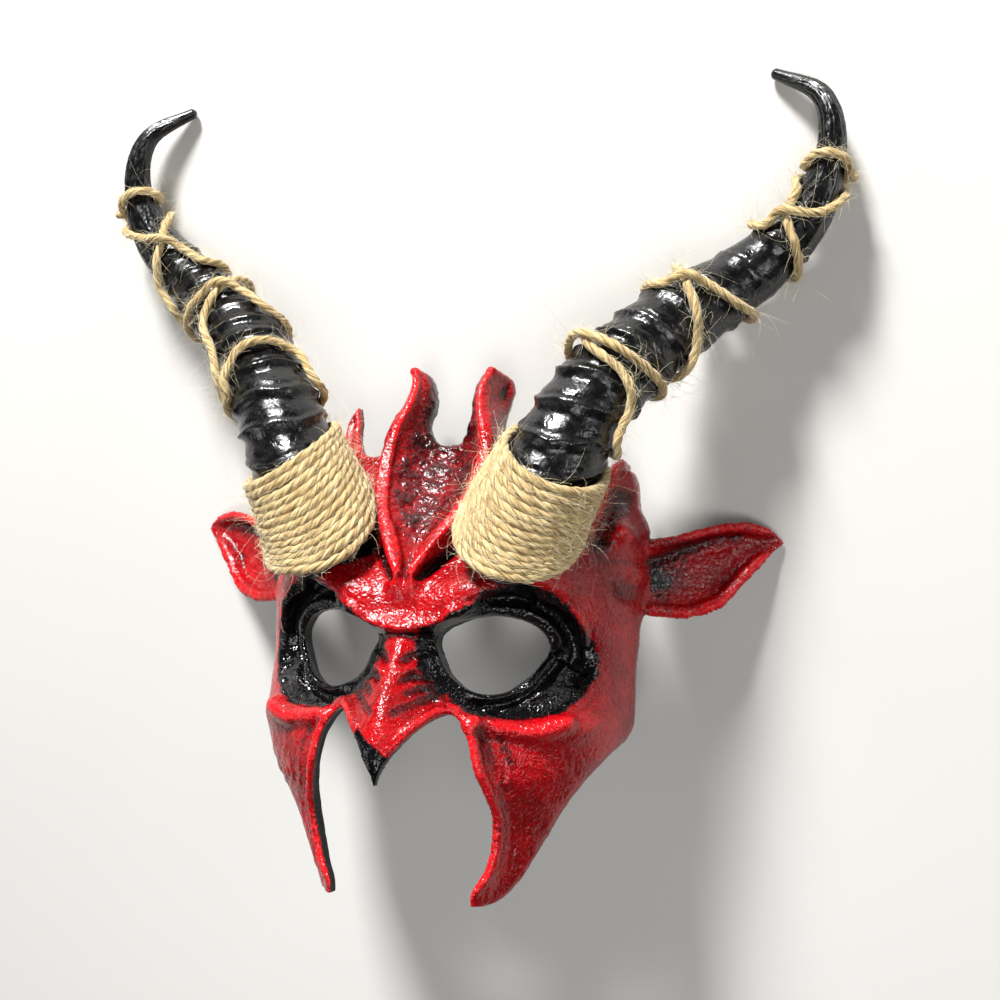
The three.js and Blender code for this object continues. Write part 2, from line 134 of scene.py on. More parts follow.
add_lamp("lamp_over_horns", (-0.42, 1.9, 0.95), 0.42, 17, 1.2)
add_lamp("lamp_overhead", (0.35, -0.3, 1.6), 0.7, 9.5)
add_lamp("lamp_right", (1.3, 0.3, 0.7), 0.5, 4)
add_lamp("lamp_left", (-1.3, -0.2, 0.8), 0.6, 3)
scene.view_settings.view_transform = "Standard"
world = bpy.data.worlds.new("studio")
scene.world = world
world.use_nodes = True
set_inputs(world.node_tree, world.node_tree.nodes["Background"], {"Color": srgb(SKY), "Strength": 0.1})

# The shell: one resin casting, about 4 mm thick and open behind. A head form carries the carved
# nose, brows, eye rims and crest, and is cut to the outline with its eye holes. The goat ears are
# cast on at the temples.
WALL = 4.2  # thickness of the casting
RIM = -50  # Z of the flat rim behind
FACE_TOP = 116
FACE_BOTTOM = -99
VOXEL = 0.92  # grid on which the parts of the casting are fused
NOSE_ROUNDING = 2.6
SOCKET_DEPTH = 5


def ramp(low, high, v):
    t = np.clip((v - low) / (high - low), 0, 1)
    return t * t * (3 - 2 * t)


def hump(v, reach):
    """A rounded hump of height 1 at 0 that ends at distance reach."""
    return np.clip(1 - (v / reach) ** 2, 0, 1) ** 2


def through(knots):
    """A smooth function through (place, value) knots."""
    place, value = np.array(knots, float).T
    order = np.arange(len(place))
    before, after = np.maximum(order - 1, 0), np.minimum(order + 1, order[-1])
    slope = (value[after] - value[before]) / (place[after] - place[before])

    def at(v):
        p = np.clip(v, place[0], place[-1])
        i = np.clip(np.searchsorted(place, p, side="right") - 1, 0, len(place) - 2)
        span = place[i + 1] - place[i]
        t = (p - place[i]) / span
        bend = slope[i] * span * (1 - t) - slope[i + 1] * span * t
        return value[i] + (value[i + 1] - value[i]) * t * t * (3 - 2 * t) + t * (1 - t) * bend

    return at


def smooth_curve(points, places, closed=False):
    """Points on a centripetal spline at places from 0 to 1."""
    p = np.asarray(points, float)
    p = np.vstack([p[-1:], p, p[:2]] if closed else [2 * p[:1] - p[1:2], p, 2 * p[-1:] - p[-2:-1]])
    at = np.asarray(places, float) * (len(p) - 3)
    i = np.clip(at.astype(int), 0, len(p) - 4)
    w = (at - i)[:, None]
    a, b, c, d = p[i], p[i + 1], p[i + 2], p[i + 3]
    ab, bc, cd = (
        np.sqrt(np.linalg.norm(v - u, axis=1, keepdims=True)) + 1e-6 for u, v in ((a, b), (b, c), (c, d))
    )
    leave = ((b - a) / ab - (c - a) / (ab + bc) + (c - b) / bc) * bc
    arrive = ((c - b) / bc - (d - b) / (bc + cd) + (d - c) / cd) * bc
    return b + leave * w + (3 * (c - b) - 2 * leave - arrive) * w**2 + (2 * (b - c) + leave + arrive) * w**3


def smooth_line(points, steps, closed=False):
    places = np.linspace(0, 1, steps + 1)
    return smooth_curve(points, places[:-1] if closed else places, closed)


def distance_to(line, x, y, closed=False):
    near = np.full(np.shape(x), 1e9)
    ends = np.roll(line, -1, axis=0) if closed else line[1:]
    for (ax, ay), (bx, by) in zip(line, ends):
        dx, dy = bx - ax, by - ay
        t = np.clip(((x - ax) * dx + (y - ay) * dy) / (dx * dx + dy * dy + 1e-12), 0, 1)
        near = np.minimum(near, np.hypot(x - ax - t * dx, y - ay - t * dy))
    return near


def signed_distance(line, x, y):
    """Distance to a closed line, below zero inside it."""
    inside = np.zeros(np.shape(x), bool)
    for (ax, ay), (bx, by) in zip(line, np.roll(line, 1, axis=0)):
        if ay != by:
            inside ^= ((ay > y) != (by > y)) & (x < (bx - ax) * (y - ay) / (by - ay) + ax)
    return distance_to(line, x, y, True) * np.where(inside, -1, 1)


arch_and_prong = smooth_line([
    [0, -52], [2.6, -45.5], [6.5, -39], [12, -32], [20.5, -25.2], [26.5, -31], [30.5, -45],
    [34.8, -61], [34, -71], [31.5, -81], [27, -90.5], [27.5, -94.5],
], 60)
prong_outer = smooth_line([
    [27.5, -94.5], [34, -93], [41, -85], [48, -73], [53, -62.5], [61, -50], [70, -37], [79, -22],
], 28)
temple_side = np.array([[90, -12], [90, 44]])
outer_point = smooth_line([[80, 49], [73.5, 58], [71.5, 70], [67, 77]], 16)
outer_dip = smooth_line([[67, 77], [61.5, 69], [57, 61], [52.5, 66], [49.5, 80], [49.5, 92], [46, 99]], 30)
middle_dip = smooth_line([[46, 99], [43.5, 93], [41.5, 84], [37, 76.5], [30, 75.5], [24, 80], [21, 89],
                          [21.5, 99], [22.2, 105.5], [20.4, 110.2], [16.2, 112]], 36)
inner_point = smooth_line([
    [16.2, 112], [12.2, 110], [9.4, 105], [7.8, 97], [8.5, 87], [5, 81], [0, 79.5],
], 24)
half_outline = np.vstack([arch_and_prong, prong_outer, temple_side, outer_point, outer_dip, middle_dip,
                          inner_point])
half_outline = half_outline[np.r_[True, np.linalg.norm(np.diff(half_outline, axis=0), axis=1) > 0.4]]
mirror = np.array([-1, 1])
outline = np.vstack([half_outline, (half_outline * mirror)[::-1][1:-1]])
eye_hole = smooth_line([
    [11.4, 0.5], [13.2, -6], [16.4, -11.4], [20.8, -15.2], [26.5, -17.4], [32.4, -17.6], [37.2, -16],
    [41, -13.2], [44.2, -9.6], [47, -5.2], [49.4, -0.6], [49.4, 3], [46.6, 7.4], [42, 10.2], [36.7, 11.4],
    [31, 11.6], [26, 10.8], [21, 9.2], [16.4, 7], [12.8, 4.4],
], 80, True)
socket_line = smooth_line([
    [6, 3.4], [14, 7], [24, 13.8], [33, 20.4], [45, 23.4], [55.5, 18], [62.5, 8], [66, -2], [64, -13],
    [56, -22.5], [42, -26], [30, -25.5], [20, -20.5], [11, -14], [7, -5],
], 80, True)

half_width_at = through([
    [-99, 58], [-84, 60], [-66, 63], [-46, 72], [-27, 76], [-5, 76], [15, 77], [48, 78], [65, 73],
    [80, 68], [98, 60], [116, 50],
])
front_at = through([
    [-99, 0], [-84, 0], [-66, 7], [-46, 16], [-27, 15], [-5, 9], [10, 11], [22, 14], [35, 7],
    [50, -4], [65, -15], [80, -24], [98, -32], [116, -38],
])
nose_rise = through([[-56, 20], [-38, 20.5], [-30, 20], [-20, 18.5], [-12, 16], [-6, 13.5], [-1, 11],
                     [2, 8.5], [5, 5], [10, 0]])
nose_half = through([[-56, 36], [-36, 33], [-26, 25], [-18, 18], [-10, 15.5], [-4, 15], [7, 14]])
brow_line = through([[0, 3.8], [8, 4.6], [14, 7.1], [19, 10.4], [34, 20.8], [42, 23], [50, 21.5],
                     [56, 17.5], [61, 11.5], [70, -3]])
brow_rise = through([[0, 6.5], [10, 8.5], [20, 8.5], [34, 8], [45, 5.5], [55, 3], [62, 1], [70, 0]])
ridge_line = through([[18, 1.2], [27, 3.8], [34, 6.7], [43, 11.4], [51, 15.3], [59, 18.1], [68, 19.2],
                      [76, 18.8], [84, 17], [92, 14.8], [100, 13.4], [108, 14], [116, 17]])
ridge_rise = through([[14, 0], [20, 4], [27, 7.5], [34, 10], [51, 12], [68, 14.5], [84, 17.5],
                      [100, 17], [112, 13]])
side_ridge_line = through([[30, 74], [50, 68], [62, 65], [76, 66]])


def carving(x, y):
    """Height of the carving over the head form."""
    side = np.abs(x)
    fall = np.clip(1 - (np.hypot(side, NOSE_ROUNDING) - NOSE_ROUNDING) / nose_half(y), 0, 1)
    nose = nose_rise(y) * fall**1.2
    above = y - brow_line(side)
    brow = brow_rise(side) * ramp(-2.2, 0.8, above) * (1 - ramp(4, 22, above))
    socket = -SOCKET_DEPTH * ramp(0, 5, -signed_distance(socket_line, side, y))
    eyelid = 2 * hump(signed_distance(eye_hole, side, y) - 1.5, 4)
    arch_rim = 2.4 * hump(distance_to(arch_and_prong, side, y), 6.5) * ramp(6, 16, side) * ramp(-96, -84, y)
    cheekbone = 3.5 * hump(np.hypot((side - 58) / 17, (y + 29) / 9), 1)
    line = ridge_line(y)
    inside = np.clip(1 - np.maximum(line - side, 0) / np.maximum(line, 5), 0, 1) ** 2.0
    outside = hump(np.maximum(side - line, 0) / 6.5, 1)
    crest = ridge_rise(y) * np.where(side < line, inside, outside)
    side_ridge = 3 * hump(side - side_ridge_line(y), 7) * ramp(36, 50, y)
    return nose + brow + socket + eyelid + arch_rim + cheekbone + crest + side_ridge


def head_axes(angle, y):
    """The point of the bare head form at an angle round the face, and its outward direction."""
    half, depth = half_width_at(y), front_at(y) - RIM
    point = np.stack([half * np.sin(angle), y, RIM + depth * np.cos(angle)], -1)
    outward = np.stack([depth * np.sin(angle), 0 * y, half * np.cos(angle)], -1)
    return point, outward / np.linalg.norm(outward, axis=-1, keepdims=True)


def over_shell(points):
    """How far points lie outside the carved face, and the direction out of it."""
    x, y, z = points.T
    angle = np.arctan2(x / half_width_at(y), (z - RIM) / (front_at(y) - RIM))
    base, outward = head_axes(angle, y)
    return ((points - base) * outward).sum(-1) - carving(base[:, 0], y), outward


def read_points(mesh):
    points = np.empty(len(mesh.vertices) * 3)
    mesh.vertices.foreach_get("co", points)
    return points.reshape(-1, 3)


def write_points(mesh, points):
    mesh.vertices.foreach_set("co", np.ascontiguousarray(points, np.float32).ravel())
    mesh.update()


def read_normals(mesh):
    normals = np.empty(len(mesh.vertices) * 3)
    mesh.vertex_normals.foreach_get("vector", normals)
    return normals.reshape(-1, 3)


def slab(name, columns, rows, front, back):
    """A closed solid between two surfaces, each a function of a grid's u and v from -1 to 1."""
    bm = bmesh.new()
    bmesh.ops.create_grid(bm, x_segments=columns, y_segments=rows, size=1)
    made = bmesh.ops.extrude_face_region(bm, geom=bm.faces[:], use_keep_orig=True)
    behind = [item for item in made["geom"] if isinstance(item, bmesh.types.BMVert)]
    bmesh.ops.translate(bm, verts=behind, vec=(0, 0, -1))
    bmesh.ops.recalc_face_normals(bm, faces=bm.faces)
    mesh = mesh_from(bm, name)
    u, v, layer = read_points(mesh).T
    write_points(mesh, np.where(layer[:, None] < -0.5, back(u, v), front(u, v)))
    return mesh


def prism(name, line, low, high):
    """A straight block over a closed line, from low to high."""
    bm = bmesh.new()
    face = bm.faces.new([bm.verts.new((x, y, low)) for x, y in line])
    made = bmesh.ops.extrude_face_region(bm, geom=[face], use_keep_orig=True)
    top = [item for item in made["geom"] if isinstance(item, bmesh.types.BMVert)]
    bmesh.ops.translate(bm, verts=top, vec=(0, 0, high - low))
    bmesh.ops.triangulate(bm, faces=bm.faces[:])
    bmesh.ops.recalc_face_normals(bm, faces=bm.faces)
    return mesh_from(bm, name)


def baked(piece):
    """The mesh that an object's modifiers or bevel make. The object itself goes."""
    made = bpy.data.meshes.new_from_object(piece.evaluated_get(bpy.context.evaluated_depsgraph_get()))
    bpy.data.objects.remove(piece)
    return made


def shaped(mesh, *steps, group=()):
    """The mesh that a row of modifiers makes. Each step is a kind and its settings.

    group holds the numbers of points to which a step keeps that names the vertex group "group"."""
    piece = add_object(mesh.name, mesh)
    if group:
        piece.vertex_groups.new(name="group").add(group, 1.0, "REPLACE")
    for kind, settings in steps:
        modifier = piece.modifiers.new(kind, kind)
        for name, value in settings.items():
            setattr(modifier, name, value)
    return baked(piece)


cutters = []


def cut(operation, mesh):
    """A Boolean step with a cutting block."""
    cutters.append(add_object("cutter", mesh))
    return "BOOLEAN", {"operation": operation, "object": cutters[-1], "solver": "MANIFOLD"}


def column_angle(u):
    return (math.pi / 2) * (0.6 * u + 0.4 * u**3)


def outer_surface(u, v):
    y = (FACE_TOP + FACE_BOTTOM) / 2 + (FACE_TOP - FACE_BOTTOM) / 2 * v
    base, outward = head_axes(column_angle(u), y)
    return base + outward * carving(base[:, 0], y)[:, None]


def inner_surface(u, v):
    step = 0.004
    across = outer_surface(u + step, v) - outer_surface(u - step, v)
    along = outer_surface(u, v + step) - outer_surface(u, v - step)
    normal = np.cross(across, along)
    return outer_surface(u, v) - WALL * normal / np.linalg.norm(normal, axis=1, keepdims=True)


side_block = [[-100, -115], [100, -115], [100, 130], [-100, 130]]
face_mesh = shaped(
    slab("face", 190, 220, outer_surface, inner_surface),
    ("REMESH", {"mode": "VOXEL", "voxel_size": VOXEL}),
    cut("INTERSECT", prism("outline", outline, -60, 60)),
    cut("DIFFERENCE", prism("eye_right", eye_hole, -70, 60)),
    cut("DIFFERENCE", prism("eye_left", eye_hole * mirror, -70, 60)),
    cut("DIFFERENCE", prism("behind_rim", side_block, -120, RIM)),
)

EAR_ROOT = 74
EAR_TIP = 129.5
EAR_SWEEP = 0.53
EAR_LOW = 10
EAR_HIGH = 60
ear_upper = through([[70, 48], [84, 47.4], [93, 50.5], [102, 54], [113, 56.2], [123, 54.6], [129.5, 50]])
ear_lower = through([[70, 17.5], [78, 16.6], [91, 16.6], [105, 21.8], [115.5, 35], [124.5, 45.2],
                     [129.5, 49.4]])


def ear_surface(u, v, behind):
    out = (u + 1) / 2
    x = EAR_ROOT + (EAR_TIP - EAR_ROOT) * (1 - (1 - out) ** 1.3)
    upper, lower = ear_upper(x), ear_lower(x)
    narrow = np.clip((upper - lower) / 30, 0.12, 1)
    dish = 7.5 * narrow * (1 - v**2) * ramp(-0.2, 0.5, out)
    thick = 4.2 * np.minimum(1, 0.25 + narrow) * (1 - 0.55 * v**4)
    z = -44.5 - EAR_SWEEP * (x - 78) - dish - behind * thick
    return np.stack([x, (upper + lower) / 2 + (upper - lower) / 2 * v, z], -1)


ear_mesh = slab("ear", 70, 50, lambda u, v: ear_surface(u, v, 0), lambda u, v: ear_surface(u, v, 1))
bm = bmesh.new()
bm.from_mesh(face_mesh)
bm.from_mesh(ear_mesh)
ear_mesh.transform(Matrix.Scale(-1, 4, (1, 0, 0)))
ear_mesh.flip_normals()
bm.from_mesh(ear_mesh)
shell_mesh = shaped(mesh_from(bm, "shell"), ("REMESH", {"mode": "VOXEL", "voxel_size": VOXEL}))
for tool in cutters:
    bpy.data.objects.remove(tool)

# The plain inner wall needs fewer faces than the front.
points = read_points(shell_mesh)
inner_wall = np.flatnonzero(
    (over_shell(points)[0] < -2.8) & (np.abs(points[:, 0]) < EAR_ROOT) & (points[:, 2] > RIM + 3))
shell_mesh = shaped(shell_mesh, ("DECIMATE", {"ratio": 0.7, "vertex_group": "group"}),
                    group=inner_wall.tolist())
bm = bmesh.new()
bm.from_mesh(shell_mesh)
bmesh.ops.recalc_face_normals(bm, faces=bm.faces)
for _ in range(2):
    bmesh.ops.smooth_vert(bm, verts=bm.verts, factor=0.5, use_axis_x=True, use_axis_y=True, use_axis_z=True)
shell_mesh = mesh_from(bm, "mask_casting")

# The sculptor's finer work on the shell: lids, wrinkles, folds, rolled rims and the rough grain of
# the cast. Each fold is a line on one half of the face, with its reach to each side and its height.
FOLDS = [
    ([[2.8, 25], [4.9, 32.8], [9, 40.6], [13.8, 48.9], [17, 58.7], [18.6, 72], [17.5, 84.6], [14.6, 94.3],
      [14, 102.7], [16.2, 110]], 1.8, 1.5),
    ([[6.2, 23.5], [8.6, 27], [11.4, 30.5], [15, 35]], 3.0, -2.4),
    ([[3.4, -7.2], [5.6, -5.2], [9.4, -3.6]], 2.2, -1.3),
    ([[3.6, -11.3], [6, -9.8], [9.2, -9.2]], 2.2, 0.9),
    ([[5.0, -14.6], [7, -13], [10.4, -13.2]], 2.2, -1.3),
    ([[7.4, -19], [11, -17], [15, -17.4]], 2.6, -0.7),
    ([[4.5, -26.1], [7.9, -24], [11.1, -21.8], [14.8, -19.5]], 2.4, -1.1),
    ([[50.6, 0.2], [55.5, -4.4], [61, -7.4]], 1.7, -1.5),
    ([[46.5, 20.6], [53, 18.2], [58.2, 14.4], [60.6, 9], [60.8, 4]], 2.8, 2.4),
    ([[46, 15.8], [51.5, 12.6], [55.4, 7], [57, 1.4], [57.4, -2.6]], 3.4, -2.6),
    ([[22, 12.6], [30, 16.6], [38, 18.4], [46, 16]], 2.0, -1.8),
    ([[24.9, -20.8], [32.9, -23.8], [43, -24.6], [52.6, -22], [58, -17]], 1.6, -1.3),
    ([[29, -28], [38, -29.6], [49.4, -29.8], [58, -26.6]], 5.0, 3.1),
    ([[66, 76], [64.6, 62], [61.4, 47]], 3.0, 1.5),
    ([[70.4, 72], [73.6, 60], [77, 49]], 2.6, 1.4),
    ([[68.4, 62], [67.4, 54], [64.2, 43]], 4.2, -2.2),
    ([[72.4, 47.4], [73, 46]], 5.0, 1.8),
    ([[76.6, 33], [76.8, 31]], 4.0, 1.3),
    ([[72.6, 27], [73.4, 23]], 4.5, -1.4),
]
ear_rim_line = smooth_line([[80, 44.6], [92, 48.4], [103, 52.4], [113, 54.4], [122, 53.2], [128, 50.4]], 30)
ear_fold_line = smooth_line([[79, 38], [86, 41], [96, 46.2], [105, 49.4], [114, 50.8], [124, 50.3]], 30)
ear_brim_line = smooth_line([[79, 19.5], [91, 19], [103, 23.4], [113, 35], [122, 45]], 30)
crest_edge = np.vstack([outer_dip, middle_dip, inner_point])


def grain(points, size, octaves=3, seed=0.0):
    """Rough noise of about 1 either way, with grains of the given size in millimetres."""
    return np.array([noise.fractal(Vector(p) / size + Vector((seed, seed, seed)), 1.0, 2.0, octaves)
                     for p in points])


def relaxed(mesh, values, rounds):
    """Values averaged with their neighbours along the mesh's edges, several times."""
    edges = np.empty(len(mesh.edges) * 2, int)
    mesh.edges.foreach_get("vertices", edges)
    one, other = edges.reshape(-1, 2).T
    count = np.bincount(edges, minlength=len(values))[:, None]
    for _ in range(rounds):
        total = np.stack([
            np.bincount(one, column[other], len(values)) + np.bincount(other, column[one], len(values))
            for column in values.T
        ], 1)
        values = 0.5 * values + 0.5 * total / count
    return values


# The cut edges behind, the nose tip and the joint of the ear are rubbed smooth first.
points = read_points(shell_mesh)
x, y, z = points.T
side = np.abs(x)
by_cut = ramp(9, 5, distance_to(outline, x, y, True)) * ramp(38, 48, side)
by_cut = np.maximum(by_cut, ramp(7, 4, np.abs(z - RIM))) * ramp(30, 10, y)
by_cut = np.maximum(by_cut, 0.25 * ramp(7, 3, np.hypot(x, y + 52)))
by_cut = np.maximum(by_cut, 0.9 * hump(side - 77.5, 6.5) * (y > EAR_LOW) * (y < EAR_HIGH))
points += (by_cut * ramp(-56, -50, z))[:, None] * (relaxed(shell_mesh, points, 40) - points)
write_points(shell_mesh, points)
normals = read_normals(shell_mesh)
side = np.abs(x)
out_of_shell, outward = over_shell(points)
on_ear = ramp(77, 80, side) * (y > EAR_LOW) * (y < EAR_HIGH)
off_ear = 1 - on_ear
facing = np.where(on_ear > 0.5, normals[:, 2] + 0.3 * np.sign(x) * normals[:, 0],
                  (normals * outward).sum(-1))
near_front = ramp(-2.9, -1.7, out_of_shell + 10 * ramp(46, 58, y))
front_side = ramp(-0.45, -0.15, facing) * np.where(on_ear > 0.5, 1, near_front)

folds = sum(height * hump(distance_to(smooth_line(line, 24), side, y), reach)
            for line, reach, height in FOLDS)
hole_distance = signed_distance(eye_hole, side, y)
lids = ramp(6, -4, y) * ramp(7, 12, side) * (
    1.9 * hump(hole_distance - 1.3, 1.5) - 1.3 * hump(hole_distance - 4.0, 2.0)
    + 0.9 * hump(hole_distance - 6.6, 1.4))
upper_lid = ramp(-2, 6, y) * ramp(14, 24, side) * 2.6 * hump(hole_distance - 2.4, 3.2)
pouch = 3.8 * hump(np.hypot((side - 49) / 12, (y + 16.5) / 7.5), 1)
edge_distance = distance_to(arch_and_prong, side, y)
arch_lip = ramp(-92, -82, y) * (1.3 * hump(edge_distance - 2.0, 2.3) - 0.5 * hump(edge_distance - 5.5, 2.2))
crest_lip = 0.9 * hump(distance_to(crest_edge, side, y) - 1.6, 2.0) * ramp(60, 70, y)
panel = ramp(0, 6, ridge_line(y) - side) * ramp(30, 42, y)
coarse = grain(points, 7.0, 3, 4.0)
fine = grain(points, 2.4, 3, 9.0)
streaks = np.sin(edge_distance * 1.25 + 5 * coarse + 0.02 * y) * ramp(-30, -44, y) * ramp(-0.4, 0.5, coarse)
on_front = (folds + lids + upper_lid + pouch + arch_lip * ramp(4, 12, side) + crest_lip
            + panel * (0.6 * coarse + 0.5 * fine) + 0.28 * streaks + 0.1 * coarse + 0.12 * fine)
ear_relief = (1.6 * hump(distance_to(ear_rim_line, side, y), 3.0) * ramp(127, 118, side)
              - 1.6 * hump(distance_to(ear_fold_line, side, y), 3.4) * ramp(120, 108, side)
              + 1.9 * hump(distance_to(ear_brim_line, side, y), 3.8) * ramp(126, 116, side)
              + 0.3 * coarse + 0.3 * fine)
relief = front_side * ramp(-0.1, 0.3, facing) * (off_ear * on_front + on_ear * ear_relief)
relief += (1 - front_side) * 0.25 * coarse * ramp(1.5, 4, np.abs(points[:, 2] - RIM))
points = points + normals * relief[:, None]
write_points(shell_mesh, points)

# Paint and painted shade on the shell. Fields kept on the mesh, in millimetres or from 0 to 1: the black,
# which is paint and under the brow a painted shadow; a dark glaze with painted shade in the creases; and
# how hollow the surface is, from which the hollows get a painted shade and the ridges a painted highlight
# with dry-brushing.
foot_right = smooth_line([
    [21, 50], [18, 43], [18.2, 38.5], [21.6, 35.2], [25.4, 31.6], [31, 27.4], [36, 23.8], [45, 25], [54, 32],
    [58, 44], [52, 58], [40, 64], [28, 60],
], 60, True)
foot_left = smooth_line([
    [-24, 52], [-20.4, 44.5], [-16.6, 38], [-16.8, 33], [-20, 30.4], [-27, 27.6], [-36, 24.6], [-45, 25],
    [-54, 32], [-58, 44], [-52, 58], [-40, 64], [-28, 60],
], 60, True)


def keep(mesh, name, values):
    mesh.attributes.new(name, "FLOAT", "POINT").data.foreach_set("value", np.asarray(values, np.float32))


arch_wall = ramp(0.3, 0.1, facing) * (distance_to(arch_and_prong, side, y) < 3.5)
normals = read_normals(shell_mesh)
hollow = ((relaxed(shell_mesh, points, 14) - points) * normals).sum(-1)
wide_hollow = ((relaxed(shell_mesh, points, 60) - points) * normals).sum(-1)
x, y = points[:, :2].T
side = np.abs(x)
nose_tip = 1.2 - 1.1 * (y + 37.6 + 0.75 * (x + 1.5)) * ramp(16, 8, side) - 30 * ramp(8, 14, side)
crest_cleft = 1.7 - distance_to(smooth_line([[7.4, 25.2], [9.6, 28.4], [13, 33]], 12), x, y)
# The black under the brow, along the root of the nose, is a painted shadow.
shadow_under_brow = 1.0 - distance_to(smooth_line([[0, 2.4], [5, 2.6], [9, 3]], 12), side, y)
ear_root = 1.7 - 0.35 * np.hypot((side - 82) * 1.2, (y - 31) * 0.75) - 5 * ramp(80, 76.5, side)
# The black: paint in the eye sockets, round the horn feet, on the nose tip, in the cleft by the crest and at
# the ear root; a painted shadow under the brow; and the inner wall of the arch.
black = np.max([
    -signed_distance(socket_line, side, y), -signed_distance(foot_right, x, y),
    -signed_distance(foot_left, x, y), nose_tip, crest_cleft, shadow_under_brow, ear_root, 4 * arch_wall - 2,
], axis=0)
# Dark lines: painted shade in the creases beside the nose, over the broad hollow beside it and in the
# temple's crease, and painted drips down the cheeks.
shaded_creases_and_drips = [(line, 2.6, 0.7) for line, reach, height in FOLDS[2:7] if height < 0] + [
    ([[8, -4], [9, -10], [13, -17], [18, -21]], 7, 0.35),
    ([[68.4, 62], [67.4, 54], [64, 42]], 6, 0.8),
    ([[31, -30], [35, -41]], 3, 0.55),
    ([[37, -33], [41, -41]], 3, 0.55),
]
glaze_and_shade = sum(strength * hump(distance_to(smooth_line(line, 16), side, y), reach)
            for line, reach, strength in shaded_creases_and_drips)
glaze_and_shade += panel * (0.58 + 0.4 * np.clip(0.6 * fine + coarse, -1, 1))
glaze_and_shade += 0.6 * hump(np.hypot(side - 72.5, y - 25), 8)
glaze_and_shade += 0.45 * hump(np.hypot((side - 66) / 1.4, y - 36), 10)
# On the ear, painted shade along the fold, and darker round the root.
glaze_and_shade += on_ear * (0.6 * hump(distance_to(ear_fold_line, side, y), 3.4) * ramp(118, 96, side)
                   + 0.5 * hump(np.hypot(side - 83, y - 32), 12) + 0.15 * ramp(24, 34, y))
glaze_and_shade += 0.3 * ramp(8, 0, distance_to(outline, x, y, True)) * ramp(20, 50, y)
# How hollow the surface is, for the painted shade in the hollows and the painted highlight on the ridges.
recess = 0.8 * hollow + 0.35 * wide_hollow
recess -= np.median(recess[front_side > 0.5])
rough_cast = 1 - 0.3 * off_ear * (ramp(60, 74, side) + ramp(0, 2, black))
rough_cast += 0.9 * hump(np.hypot((side - 49) / 14, (y + 17) / 9), 1)
rough_cast += 0.6 * hump(np.hypot((side - 34) / 14, (y - 15) / 5), 1)
for name, values in (("black_paint_and_shadow", black), ("glaze_and_shade", np.clip(glaze_and_shade, 0, 1)), ("recess", recess),
                     ("rough_cast", rough_cast), ("front_side", front_side)):
    keep(shell_mesh, name, values)


def shaken(tree, value, by, amount):
    """A value moved by a noise around its middle, for ragged edges."""
    centred = add_node(tree, "Math", {0: by, 1: 0.5}, operation="SUBTRACT")
    return add_node(tree, "Math", {0: centred, 1: amount, 2: value}, operation="MULTIPLY_ADD")


def layered(tree, colour, layers):
    """A colour with others laid over it. Each layer is the value that it follows, where it starts and
    where it is full, its strength at both, and its colour."""
    for value, start, full, least, most, code in layers:
        share = add_node(tree, "MapRange", {0: value, 1: start, 2: full, 3: least, 4: most},
                         interpolation_type="SMOOTHSTEP")
        colour = add_node(tree, "Mix", {0: share, 6: colour, 7: srgb(code)}, 2, data_type="RGBA")
    return colour


# Red acrylic, brushed in coats over a resin casting with a rough skin. It gives a deep red full of
# small satin glints. It is darker in the hollows and creases, a painted shade with some glaze, and
# lighter on the ridges, a painted highlight with some dry-brushing. The black is a glossier coat of its
# own, and under the brow it is a painted shadow. Grit and wrinkles are under 1 mm on the real casting
# and are drawn at about 1.5 mm, so that they show. Brush blots are 5 mm, and thin patches of the coat
# 18 mm.
RED_PAINT = "#A80009"
RED_DEEPER = "#860006"
DARK_RED = "#4A0004"
LIGHT_RED = "#D01018"
GLAZE_AND_SHADE_RED = "#100203"
BLACK_PAINT_AND_SHADOW = "#060506"
INSIDE_PAINT = "#1B1A1B"
INSIDE_ROUGHNESS = 0.62
casting, tree, shader = new_material("brushed_acrylic_on_resin_casting")
coordinates = add_node(tree, "TexCoord", {}, "Object")
grit, blot, patch, wrinkle = (
    add_node(tree, "TexNoise", {
        "Vector": coordinates, "Scale": 1000 / size, "Detail": detail, "Roughness": roughness,
        "Distortion": distortion,
    }) for size, detail, roughness, distortion in (
        (1.5, 3.0, 0.65, 0.0), (5.0, 4.0, 0.6, 0.0), (18.0, 3.0, 0.55, 0.0), (1.4, 1.0, 0.5, 0.5)))
field = {name: add_node(tree, "Attribute", {}, "Fac", attribute_name=name)
         for name in ("black_paint_and_shadow", "glaze_and_shade", "recess", "rough_cast", "front_side")}
hollows = shaken(tree, field["recess"], blot, 0.5)
edge = shaken(tree, shaken(tree, field["black_paint_and_shadow"], blot, 5.0), grit, 2.5)
in_hollows, is_black, is_inside = (
    add_node(tree, "MapRange", {0: value, 1: start, 2: full}, interpolation_type="SMOOTHSTEP")
    for value, start, full in ((hollows, 0.4, 1.2), (edge, -0.5, 0.7), (field["front_side"], 0.45, 0.1)))
darkened = add_node(tree, "Math", {0: in_hollows, 1: field["glaze_and_shade"]}, operation="MAXIMUM")
darkened = shaken(tree, darkened, grit, 2.0)
colour = layered(tree, srgb(RED_PAINT), (
    (patch, 0.35, 0.65, 0.0, 1.0, RED_DEEPER),
    (grit, 0.38, 0.52, 0.45, 0.0, DARK_RED),
    # Lighter red on the ridges: a painted highlight, with some dry-brushing.
    (shaken(tree, hollows, grit, -2.5), -0.3, -1.2, 0.0, 0.75, LIGHT_RED),
    # Dark red, then near black, in the hollows, creases and glazed lines: painted shade, with some glaze.
    (darkened, 0.15, 0.65, 0.0, 1.0, DARK_RED),
    (darkened, 0.6, 1.15, 0.0, 1.0, GLAZE_AND_SHADE_RED),
))
